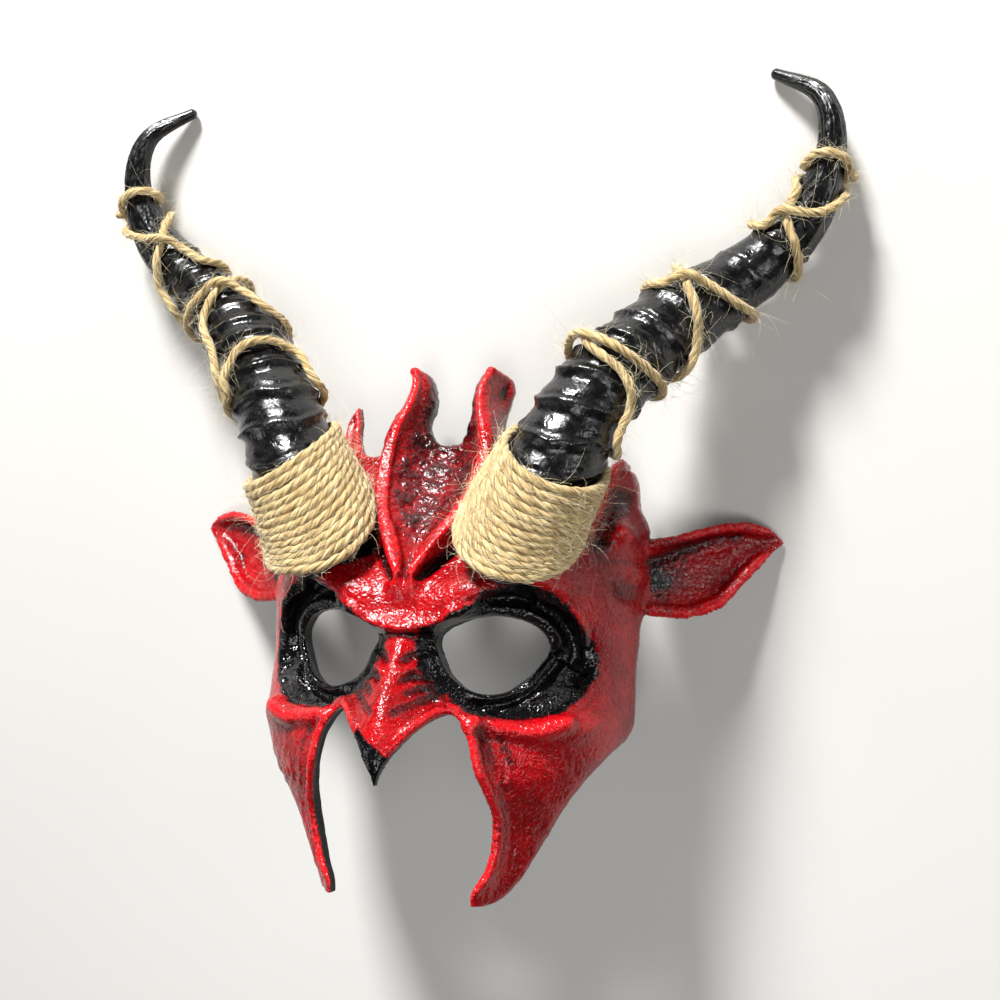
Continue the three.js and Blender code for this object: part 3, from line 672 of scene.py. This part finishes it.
# The black paint, with the painted shadow under the brow, and the dark inside of the shell.
for share, code in ((is_black, BLACK_PAINT_AND_SHADOW), (is_inside, INSIDE_PAINT)):
    colour = add_node(tree, "Mix", {0: share, 6: colour, 7: srgb(code)}, 2, data_type="RGBA")
red_gloss, black_gloss = (
    add_node(tree, "MapRange", {0: blot, 1: 0.3, 2: 0.7, 3: low, 4: high},
             interpolation_type="SMOOTHSTEP") for low, high in ((0.2, 0.32), (0.09, 0.2)))
gloss = add_node(tree, "Mix", {0: is_black, 2: red_gloss, 3: black_gloss})
gloss = add_node(tree, "Mix", {0: is_inside, 2: gloss, 3: INSIDE_ROUGHNESS})
wrinkle = add_node(tree, "Math", {0: wrinkle, 1: field["rough_cast"]}, operation="MULTIPLY")
skin_bump = add_node(tree, "Bump", {"Height": wrinkle, "Strength": 1.0, "Distance": 0.0005})
brush_bump = add_node(tree, "Bump", {
    "Height": blot, "Strength": 0.3, "Distance": 0.0008, "Normal": skin_bump,
})
set_inputs(tree, shader, {
    "Base Color": colour, "Roughness": gloss, "IOR": 1.49, "Specular IOR Level": 0.45, "Normal": brush_bump,
})


def lay_down(mesh, sign=1):
    """From face axes in millimetres to the lying mask in metres, mirrored first for the left side."""
    if sign < 0:
        mesh.flip_normals()
    points = read_points(mesh) * 0.001 * (sign, 1, 1)
    write_points(mesh, points @ np.array(laid.to_3x3()).T + np.array(laid.translation))
    mesh.shade_smooth()


lay_down(shell_mesh)
shell = add_object("mask_casting", shell_mesh, casting)
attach(shell, "root")
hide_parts("mask_shell")

# The horns: light hollow castings in black gloss. Each leans out from the forehead, sweeps back and
# hooks in at the tip, with sharp growth rings over two thirds of it and long streaks above them.
HORN_POINTS = [[32.5, 18, 2], [40, 43, 6.5], [52, 68, 9], [63, 91, 5.5], [87, 121.5, -9],
               [119, 149.5, -23.5], [139, 170, -20], [147, 194, -14.5], [143, 213, -14], [123.5, 226, -18.5]]
BINDING_LOW = 25
BINDING_HIGH = 59
horn_radius = through([[0, 21.5], [20, 20.5], [45, 18], [60, 17], [75, 16.6], [100, 16.2], [130, 15.4],
                       [150, 13.9], [165, 12.4], [180, 10.9], [195, 9.2], [206, 7.6], [214, 6.2], [228, 5],
                       [245, 3.6], [268, 1.8]])
slant_at = through([[15, 17], [25, 16], [59, 11], [85, 0], [100, 0], [300, 0]])
places = np.linspace(0, 1, 3001)
fine_line = smooth_curve(HORN_POINTS, places)
length_at = np.r_[0, np.cumsum(np.linalg.norm(np.diff(fine_line, axis=0), axis=1))]
HORN_LENGTH = length_at[-1]


def horn_axes(along):
    """The horn's centre line at distances along it, with the directions ahead, to the front and sideways."""
    at = np.clip(np.interp(along, length_at, places), 0.0005, 0.9995)
    centre = smooth_curve(HORN_POINTS, np.interp(along, length_at, places))
    ahead = smooth_curve(HORN_POINTS, at + 0.0005) - smooth_curve(HORN_POINTS, at - 0.0005)
    ahead /= np.linalg.norm(ahead, axis=1, keepdims=True)
    front = np.array([0, -0.35, 1]) - ahead * (ahead @ np.array([0, -0.35, 1]))[:, None]
    front /= np.linalg.norm(front, axis=1, keepdims=True)
    return centre, ahead, front, np.cross(front, ahead)


def around_horn(along, turn, radius):
    """Points at angles round the horn. 0 is its front and a quarter turn is the side of the crest."""
    centre, ahead, front, inward = horn_axes(along)
    shift = -slant_at(along) * np.cos(turn)
    return (centre + front * (radius * np.cos(turn))[:, None] + inward * (radius * np.sin(turn))[:, None]
            + ahead * shift[:, None])


def clear_of_shell(points, clearance):
    """Points pushed out to stand at least that far over the face."""
    over, outward = over_shell(points)
    short = np.clip(clearance - over, 0, 40) * (points[:, 1] < 112) * (np.abs(points[:, 0]) < 74)
    return points + outward * short[:, None]


def tube(name, rings, sides, place, length=1.0, girth=1.0, fields=None):
    """A closed tube. place takes distances along it and angles round it, both from 0 to 1.

    Its UV map runs along and round it in millimetres. fields are values kept on its points."""
    bm = bmesh.new()
    bm.loops.layers.uv.new("surface")
    bmesh.ops.create_grid(bm, x_segments=rings, y_segments=sides, size=0.5, calc_uvs=True)
    mesh = mesh_from(bm, name)
    u, v = read_points(mesh)[:, :2].T + 0.5
    for field, value in (fields or {}).items():
        keep(mesh, field, value(u, v))
    write_points(mesh, place(u, np.where(v > 1 - 1e-6, 0, v)))
    surface = np.empty(len(mesh.loops) * 2)
    mesh.uv_layers["surface"].data.foreach_get("uv", surface)
    surface = (surface.reshape(-1, 2) * (length, girth)).ravel()
    mesh.uv_layers["surface"].data.foreach_set("uv", surface)
    bm = bmesh.new()
    bm.from_mesh(mesh)
    bmesh.ops.remove_doubles(bm, verts=bm.verts, dist=1e-5)
    bmesh.ops.dissolve_degenerate(bm, edges=bm.edges, dist=1e-6)
    bmesh.ops.recalc_face_normals(bm, faces=bm.faces)
    bm.to_mesh(mesh)
    bm.free()
    return mesh


HORN_FOOT = 21.5  # how far along its line the horn begins, just over the shell
RIGHT_RINGS = [48, 57, 66.5, 76, 86, 95.5, 105, 115.5, 129, 144.5, 161.5, 180, 200]
LEFT_RINGS = [48, 59, 69.7, 79, 89, 99, 108.5, 118, 127.5, 137, 146.5, 157, 168, 182, 200]


def horn_relief(along, turn, rings, seed):
    """Growth rings and the wrinkles of old horn, as a height over the plain radius.

    Each ring is a lip that stands out sharply. Above it the horn bulges and draws in again."""
    across = np.stack([np.cos(turn), np.sin(turn)], -1)
    wander = grain(np.column_stack([across * 1.1, along * 0.045 + seed]), 1.0)
    crumple = grain(np.column_stack([across * 3.4, along * 0.22 + seed]), 1.0)
    place = along + 3.5 * np.sin(turn) + 1.6 * wander
    rings = np.array(rings, float)
    k = np.clip(np.searchsorted(rings, place, side="right") - 1, 0, len(rings) - 2)
    pitch = rings[k + 1] - rings[k]
    above = place - rings[k]
    below = rings[k + 1] - place
    skirt = np.maximum(1 - ramp(0.02, 0.78, above / pitch), 0.8 * ramp(0.3, 0.0, below / pitch))
    near = np.minimum(above, below)
    strength = (1 - 0.5 * ramp(60, 175, along)) * (1 - ramp(180, 194, along))
    lip = 0.8 * np.exp(-((near / 0.8) ** 2)) * np.clip(0.75 + 0.9 * wander, 0.1, 1.4)
    groove = 0.4 * np.exp(-(((above - 1.9) / 0.8) ** 2))
    streak = np.sin(turn * 7 + 2.5 * wander) + 0.7 * np.sin(turn * 16 + 4 * crumple)
    return (strength * (1.5 * skirt + lip - groove) - 0.8 + 0.16 * crumple * (1 - ramp(160, 200, along))
            + 0.16 * streak * ramp(165, 200, along) + 0.8 * ramp(150, 200, along))


def horn_place(rings, seed):
    """Where the points of a horn's tube go. It closes round at the foot and at the tip."""
    def place(u, v):
        along = HORN_FOOT + (HORN_LENGTH - HORN_FOOT) * u
        root = np.clip((HORN_FOOT + 7 - along) / 7, 0, 1)
        ends = np.sqrt(1 - root**2) * np.sqrt(np.clip((1 - u) / 0.006, 0, 1))
        turn = v * 2 * math.pi
        radius = horn_radius(along) + horn_relief(along, turn, rings, seed) * (1 - ramp(0.9, 0.99, u))
        radius = np.where((u == 0) | (u == 1), 0, radius * np.maximum(ends, 0.05))
        return clear_of_shell(around_horn(along, turn, radius), 0.1)
    return place


# Black enamel poured over a wrinkled casting. It gives hard white glints on the ring lips and on every
# wrinkle, over a black that is rubbed a little grey on its high spots. Wrinkles are 3.2 mm and the
# crackle of the coat 2.8 mm, coarser than the real one so that it shows.
HORN_BLACK = "#050506"
HORN_GREY = "#1C1B1A"
gloss_black, tree, shader = new_material("gloss_black_enamel_on_horn_casting")
coordinates = add_node(tree, "TexCoord", {}, "Object")
skin, crackle = (
    add_node(tree, "TexNoise", {
        "Vector": coordinates, "Scale": 1000 / size, "Detail": detail, "Roughness": roughness,
        "Distortion": distortion,
    }) for size, detail, roughness, distortion in ((3.2, 4.0, 0.6, 0.0), (2.8, 1.0, 0.5, 1.2)))
rough, hollow = (add_node(tree, "Attribute", {}, "Fac", attribute_name=name)
                 for name in ("rough_cast", "hollow"))
crackle = add_node(tree, "Math", {0: crackle, 1: rough}, operation="MULTIPLY")
colour = layered(tree, srgb(HORN_BLACK), (
    (shaken(tree, hollow, skin, -1.0), -0.05, -0.6, 0.0, 0.3, HORN_GREY),))
gloss = add_node(tree, "MapRange", {0: skin, 1: 0.3, 2: 0.7, 3: 0.18, 4: 0.36},
                 interpolation_type="SMOOTHSTEP")
wrinkled = add_node(tree, "Bump", {"Height": skin, "Strength": 0.2, "Distance": 0.0006})
crackled = add_node(tree, "Bump", {
    "Height": crackle, "Strength": 0.5, "Distance": 0.0005, "Normal": wrinkled,
})
set_inputs(tree, shader, {
    "Base Color": colour, "Roughness": gloss, "IOR": 1.5, "Specular IOR Level": 0.5, "Normal": crackled,
})

for hand, sign, rings, seed in (("right", 1, RIGHT_RINGS, 0.0), ("left", -1, LEFT_RINGS, 31.0)):
    mesh = tube(f"ringed_horn_{hand}", 520, 110, horn_place(rings, seed),
                fields={"rough_cast": lambda u, v: 1 - 0.85 * ramp(0.58, 0.72, u)})
    points = read_points(mesh)
    keep(mesh, "hollow", ((relaxed(mesh, points, 10) - points) * read_normals(mesh)).sum(-1) * 2)
    lay_down(mesh, sign)
    horn = add_object(f"ringed_horn_{hand}", mesh, gloss_black)
    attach(horn, "root")
    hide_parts(f"horn_{hand}")

# The twine: natural jute of three plies, about 4 mm thick. It is wound closely round each horn's
# foot, low in front, and runs on criss-cross up the horn to a ring below the tip.
TWINE = 3.8
CROSSING_TWINE = 0.95 * TWINE  # pulled tight, and a little thinner for it
BINDING_TURNS = 13
PLY_PITCH = 16.0
PLY_RADIUS = 0.68  # in parts of the twine's own radius, as is the next
PLY_OFFSET = 0.3
TWINE_STEP = 0.9
HORN_MEAN = 16  # a middling radius of the horn, to measure the lacing's path by


def ply_section(angle):
    """The outline of three twisted plies, as a radius at an angle, for a twine of radius 1."""
    radius = 0 * angle
    for k in range(3):
        away = angle - k * 2 * math.pi / 3
        reach = PLY_RADIUS**2 - (PLY_OFFSET * np.sin(away)) ** 2
        ply = np.where(reach > 0, PLY_OFFSET * np.cos(away) + np.sqrt(np.maximum(reach, 0)), 0)
        radius = np.maximum(radius, ply)
    return radius


def twine_tube(name, route, thickness):
    """A twisted twine along a route of closely spaced points."""
    steps = np.r_[0, np.cumsum(np.linalg.norm(np.diff(route, axis=0), axis=1))]
    length = steps[-1]
    axis = horn_axes(nearest_along(route))[0]

    def place(u, v):
        at = u * length
        centre, middle, before, after = (
            np.stack([np.interp(where, steps, column) for column in line.T], -1)
            for line, where in ((route, at), (axis, at), (route, at - 0.4), (route, at + 0.4)))
        ahead = after - before
        ahead /= np.linalg.norm(ahead, axis=1, keepdims=True)
        away = centre - middle
        away -= ahead * (away * ahead).sum(-1, keepdims=True)
        away /= np.linalg.norm(away, axis=1, keepdims=True)
        sideways = np.cross(ahead, away)
        angle = v * 2 * math.pi
        loose = 1 + 0.05 * np.sin(at * 0.9) + 0.04 * np.sin(at * 0.37 + 2)
        ends = np.sqrt(np.clip(np.minimum(at, length - at) / 1.5, 0, 1))
        radius = thickness / 2 * ply_section(angle) * loose * ends
        twist = angle + (at + 1.2 * np.sin(at * 0.21)) / PLY_PITCH * 2 * math.pi
        return (centre + away * (radius * np.cos(twist))[:, None]
                + sideways * (radius * np.sin(twist))[:, None])

    def groove(u, v):
        return ramp(0.9, 0.79, ply_section(v * 2 * math.pi))

    return tube(name, int(length / TWINE_STEP), 18, place, length, math.pi * thickness,
                {"ply_groove": groove})


def nearest_along(route):
    """For each point of a route, the distance along the horn of the nearest point of its axis."""
    along = np.arange(15, HORN_LENGTH, 1.0)
    centre = horn_axes(along)[0]
    return along[((route[:, None, :] - centre[None]) ** 2).sum(-1).argmin(1)]


def binding_route(dip, seed):
    """The coil's path. Its lowest turns dip towards the crest."""
    turns = np.linspace(0, BINDING_TURNS, int(BINDING_TURNS * 90))
    angle = -2.6 + turns * 2 * math.pi
    low = BINDING_LOW + 1.4 - dip * np.clip(np.cos(angle - 1.3), 0, 1)
    wander, swell = (np.array([noise.noise(Vector((t * pace, seed, layer))) for t in turns])
                     for pace, layer in ((1.7, 0), (2.3, 7)))
    along = low + (BINDING_HIGH - 1.6 - low) * turns / BINDING_TURNS + 0.7 * wander * ramp(0, 1, turns)
    radius = horn_radius(along) + 2.5 + 0.4 * swell
    return clear_of_shell(around_horn(along, angle, radius), 1.9)


# The lacing's path up each horn: degrees round it from the front, and millimetres along it.
RIGHT_ROUTE = [
    [-150, 60], [-72, 71], [-50, 84], [-15, 89.5], [42, 91], [66, 95.5], [125, 102], [210, 104],
    [291, 102.5], [333, 99], [387, 94], [430, 92], [480, 92.5], [515, 97], [565, 110], [600, 114.5],
    [648, 117], [675, 123.5], [702, 128], [744, 133], [768, 136], [805, 140], [840, 143], [885, 151],
    [930, 154.5], [1014, 154], [1062, 145.5], [1110, 138], [1135, 128], [1180, 127.5], [1208, 130],
    [1255, 160], [1295, 172.5], [1325, 175], [1368, 177], [1419, 183.5], [1473, 191], [1488, 201],
    [1560, 207], [1650, 208], [1731, 204], [1779, 196.5], [1833, 190], [1850, 179], [1890, 177],
    [1925, 179], [1965, 199], [2000, 209], [2030, 212], [2067, 213], [2120, 217], [2195, 217],
    [2240, 213], [2330, 212], [2410, 212.5],
]
LEFT_ROUTE = [
    [-215, 66], [-170, 76], [-120, 84.5], [-75, 87], [-45, 86], [-28, 87], [-14, 91.5], [15, 96.5],
    [60, 95], [88, 91], [98, 79], [140, 76], [190, 79], [235, 90], [265, 94], [300, 94.5], [325, 97],
    [345, 110], [352, 124], [393, 133.5], [440, 141], [480, 145.5], [530, 148.5], [640, 148], [700, 143],
    [753, 138.5], [785, 132], [805, 119], [845, 116.5], [880, 119], [920, 140], [950, 155], [975, 159],
    [1026, 162], [1040, 174], [1074, 181.5], [1113, 188.5], [1150, 197], [1200, 203], [1240, 205],
    [1330, 206], [1383, 203], [1428, 197], [1473, 188.5], [1492, 178], [1503, 164], [1550, 163],
    [1590, 166], [1630, 189], [1665, 205], [1700, 211], [1743, 212.5], [1800, 215.5], [1860, 215.5],
    [1900, 213.5], [1990, 212], [2080, 211],
]


def draped(height, reach):
    """The height of a cord that touches the tops of what it crosses and bridges the dips."""
    for settle in (np.max, np.mean):
        padded = np.pad(height, reach, "edge")
        height = settle(np.lib.stride_tricks.sliding_window_view(padded, 2 * reach + 1), axis=1)
    return height


def lacing_route(route, rings, seed):
    """The twine's path over the horn, lifted where a lap crosses the one before."""
    around = [[turn / 180 * math.pi * HORN_MEAN, along] for turn, along in route]
    flat = smooth_curve(around, np.linspace(0, 1, 900))
    turn, along = flat[:, 0] / HORN_MEAN, flat[:, 1]
    seat = draped(horn_radius(along) + horn_relief(along, turn, rings, seed), 5) + TWINE / 2 - 0.15
    lift = np.zeros(len(turn))
    for i in range(1, len(turn)):
        away = turn[i] - turn[:i]
        far = away > math.pi
        across = seat[i] * (away - 2 * math.pi * np.round(away / (2 * math.pi)))
        apart = np.hypot(across, along[i] - along[:i])[far]
        if len(apart):
            lift[i] = 0.85 * TWINE * hump(apart.min(), 2.1 * TWINE)
    return around_horn(along, turn, seat + lift)


# Spun jute: dull gold fibres that lie along three plies, pale where they catch the light, with a
# painted shade of dark brown in the grooves between the plies, and no gloss. Single fibres are under
# 0.1 mm and are drawn as strands 0.9 mm wide and 8 mm long, so that they show; the broader ones are
# bundles of 2.4 mm.
JUTE = "#AE9260"
JUTE_GOLD = "#C4AB76"
JUTE_LIGHT = "#D9C493"
JUTE_BROWN = "#6B5128"
JUTE_STAIN = "#8F7340"
JUTE_SHADE = "#4A3618"
jute, tree, shader = new_material("spun_jute_twine")
surface = add_node(tree, "UVMap", {}, uv_map="surface")
coordinates = add_node(tree, "TexCoord", {}, "Object")
fine_strand, broad_strand = (
    add_node(tree, "TexNoise", {
        "Vector": add_node(tree, "Mapping", {"Vector": surface, "Scale": (1 / along, 1 / across, 1)}),
        "Scale": 1.0, "Detail": 2.0, "Roughness": 0.6,
    }) for along, across in ((8.0, 0.9), (20.0, 2.4)))
tone = add_node(tree, "TexNoise", {
    "Vector": coordinates, "Scale": 1000 / 9.0, "Detail": 2.0, "Roughness": 0.5,
})
groove = add_node(tree, "Attribute", {}, "Fac", attribute_name="ply_groove")
colour = layered(tree, srgb(JUTE), (
    (broad_strand, 0.35, 0.65, 0.0, 1.0, JUTE_GOLD),
    (fine_strand, 0.5, 0.62, 0.0, 0.9, JUTE_LIGHT),
    (fine_strand, 0.48, 0.36, 0.0, 0.85, JUTE_BROWN),
    (tone, 0.4, 0.7, 0.0, 0.4, JUTE_STAIN),
))
# Darker brown in the grooves between the plies: painted shade.
in_groove = add_node(tree, "Math", {0: groove, 1: 0.45}, operation="MULTIPLY")
colour = add_node(tree, "Mix", {0: in_groove, 6: colour, 7: srgb(JUTE_SHADE)}, 2, data_type="RGBA")
fibrous = add_node(tree, "Bump", {"Height": fine_strand, "Strength": 0.9, "Distance": 0.0005})
set_inputs(tree, shader, {
    "Base Color": colour, "Roughness": 0.9, "Sheen Weight": 0.2, "Sheen Roughness": 0.5, "Normal": fibrous,
})

# Loose fibres: ends of jute that have come out of the twine. Most lie along it, and some stand off it
# as thin curved hairs. Each is a bundle about 0.09 mm thick: pale, dull and seen only as a fine line.
FIBRE_RADIUS = 0.045
LONGEST_FIBRE = 17
PRESSED_BELOW = 0.001  # metres over the floor, as is the next
FLOOR_GAP = 0.0004
loose, tree, shader = new_material("loose_jute_fibre")
set_inputs(tree, shader, {"Base Color": srgb("#E4D8B4"), "Roughness": 0.7})


def loose_fibres(name, routes, seed):
    """The hairs on a row of routes, each with how many lie along it and how many stand off it."""
    rng = np.random.default_rng(seed)
    hairs = bpy.data.curves.new(name, "CURVE")
    hairs.dimensions = "3D"
    hairs.bevel_depth = FIBRE_RADIUS
    hairs.bevel_resolution = 0
    for route, lying, standing in routes:
        centres = horn_axes(nearest_along(route))[0]
        for stands in [False] * lying + [True] * standing:
            i = rng.integers(4, len(route) - 4)
            out = route[i] - centres[i]
            out /= np.linalg.norm(out)
            ahead = route[i + 2] - route[i - 2]
            ahead /= np.linalg.norm(ahead)
            out -= ahead * (out @ ahead)
            out /= np.linalg.norm(out)
            sideways = np.cross(ahead, out)
            angle = rng.uniform(-1.7, 1.7)
            off = out * math.cos(angle) + sideways * math.sin(angle)
            point = route[i] + off * TWINE * 0.47
            along_twine = ahead * rng.choice([-1, 1])
            if stands:
                reach = min(rng.gamma(2.0, 3.8) + 3.5, LONGEST_FIBRE)
                heading = off * rng.uniform(0.3, 1) + along_twine * rng.uniform(0, 1) + rng.normal(0, 0.25, 3)
                curl = rng.normal(0, 0.34, 3) * min(1, reach / 8)
            else:
                reach = rng.uniform(3, 8)
                heading = along_twine + off * rng.uniform(0.02, 0.25) + rng.normal(0, 0.22, 3)
                curl = rng.normal(0, 0.05, 3) - off * 0.05
            count = 10 if stands else 5
            spline = hairs.splines.new("POLY")
            spline.points.add(count - 1)
            for k in range(count):
                spline.points[k].co = (*point, 1)
                spline.points[k].radius = 1 - 0.6 * k / count
                heading /= np.linalg.norm(heading)
                point = point + heading * reach / (count - 1)
                heading = heading + curl
    return baked(add_object(name, hairs))


for hand, sign, seed, dip, knots, rings, horn_seed in (
        ("right", 1, 3, 2.0, RIGHT_ROUTE, RIGHT_RINGS, 0.0),
        ("left", -1, 8, 5.0, LEFT_ROUTE, LEFT_RINGS, 31.0)):
    coil_route = binding_route(dip, seed)
    cross_route = lacing_route(knots, rings, horn_seed)
    for name, route, thickness, node in (
            (f"twine_coil_{hand}", coil_route, TWINE, f"twine_binding_{hand}"),
            (f"twine_crossings_{hand}", cross_route, CROSSING_TWINE, f"twine_lacing_{hand}")):
        mesh = twine_tube(name, route, thickness)
        lay_down(mesh, sign)
        twine = add_object(name, mesh, jute)
        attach(twine, "root")
        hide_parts(node)
    fuzz = loose_fibres(f"loose_fibres_{hand}", ((coil_route, 1900, 420), (cross_route, 900, 520)), seed)
    lay_down(fuzz, sign)
    # Hairs that would go through the floor are pressed flat just over it.
    points = read_points(fuzz)
    low = points[:, 2] < PRESSED_BELOW
    room = PRESSED_BELOW - FLOOR_GAP
    points[low, 2] = FLOOR_GAP + room * np.exp((points[low, 2] - PRESSED_BELOW) / room)
    write_points(fuzz, points)
    fuzz_piece = add_object(f"loose_fibres_{hand}", fuzz, loose)
    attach(fuzz_piece, "root")
